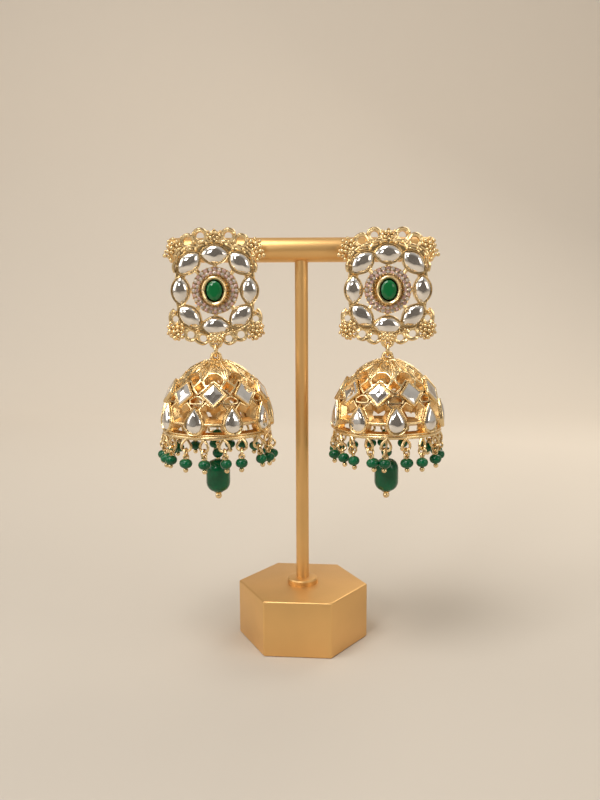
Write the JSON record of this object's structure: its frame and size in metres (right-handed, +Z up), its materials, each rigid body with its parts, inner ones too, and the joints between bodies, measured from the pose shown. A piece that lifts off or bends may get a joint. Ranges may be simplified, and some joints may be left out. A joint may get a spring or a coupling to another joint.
{
  "type": "pair of jhumka earrings on a T-bar stand",
  "caption": "Pair of bell-shaped jhumka earrings with flower studs, set stones and bead fringes, hanging on a small T-bar display stand.",
  "frame": {"origin": "centre of the stand's underside", "axes": "+Z up the post, +X along the bar to the viewer's right, -Y towards the viewer, where the studs face"},
  "size_m": [0.0737, 0.0372, 0.1071],
  "materials": {
    "stand_paint": "satin gold paint",
    "gold_metal": "polished yellow-gold plating",
    "clear_stones": "foil-backed cut glass",
    "emerald_glass": "flat-topped polished green glass",
    "green_beads": "polished green glass beads on gold wire"
  },
  "bodies": {
    "stand_and_studs": {"stand_base": "stand_paint", "stand_collar": "stand_paint", "stand_post": "stand_paint", "stand_bar": "stand_paint", "left_stud_frame": "gold_metal", "left_center_stone": "emerald_glass", "left_marquise_1": "clear_stones", "left_marquise_2": "clear_stones", "left_marquise_3": "clear_stones", "left_marquise_4": "clear_stones", "left_marquise_5": "clear_stones", "left_marquise_6": "clear_stones", "left_marquise_7": "clear_stones", "left_marquise_8": "clear_stones", "left_ear_post": "gold_metal", "right_stud_frame": "gold_metal", "right_center_stone": "emerald_glass", "right_marquise_1": "clear_stones", "right_marquise_2": "clear_stones", "right_marquise_3": "clear_stones", "right_marquise_4": "clear_stones", "right_marquise_5": "clear_stones", "right_marquise_6": "clear_stones", "right_marquise_7": "clear_stones", "right_marquise_8": "clear_stones", "right_ear_post": "gold_metal"},
    "left_link": {"left_jump_ring": "gold_metal"},
    "left_drop": {"left_bell": "gold_metal", "left_pear_1": "clear_stones", "left_pear_2": "clear_stones", "left_pear_3": "clear_stones", "left_pear_4": "clear_stones", "left_pear_5": "clear_stones", "left_pear_6": "clear_stones", "left_pear_7": "clear_stones", "left_pear_8": "clear_stones", "left_pear_9": "clear_stones", "left_bead_strand": "gold_metal", "left_capsule_bead": "green_beads", "left_bead_fringe": "green_beads"},
    "right_link": {"right_jump_ring": "gold_metal"},
    "right_drop": {"right_bell": "gold_metal", "right_pear_1": "clear_stones", "right_pear_2": "clear_stones", "right_pear_3": "clear_stones", "right_pear_4": "clear_stones", "right_pear_5": "clear_stones", "right_pear_6": "clear_stones", "right_pear_7": "clear_stones", "right_pear_8": "clear_stones", "right_pear_9": "clear_stones", "right_bead_strand": "gold_metal", "right_capsule_bead": "green_beads", "right_bead_fringe": "green_beads"}
  },
  "joints": [
    {"name": "left_link_hinge", "type": "hinge", "parent": "stand_and_studs", "child": "left_link", "pos_m": [-0.02145, -0.006, 0.0786], "axis": [0, 1, 0], "range_deg": [-7, 28]},
    {"name": "left_drop_hinge", "type": "hinge", "parent": "left_link", "child": "left_drop", "pos_m": [-0.02145, -0.006, 0.0772], "axis": [1, 0, 0], "range_deg": [-40, 40]},
    {"name": "right_link_hinge", "type": "hinge", "parent": "stand_and_studs", "child": "right_link", "pos_m": [0.02145, -0.006, 0.0786], "axis": [0, 1, 0], "range_deg": [-28, 7]},
    {"name": "right_drop_hinge", "type": "hinge", "parent": "right_link", "child": "right_drop", "pos_m": [0.02145, -0.006, 0.0772], "axis": [1, 0, 0], "range_deg": [-40, 40]}
  ]
}
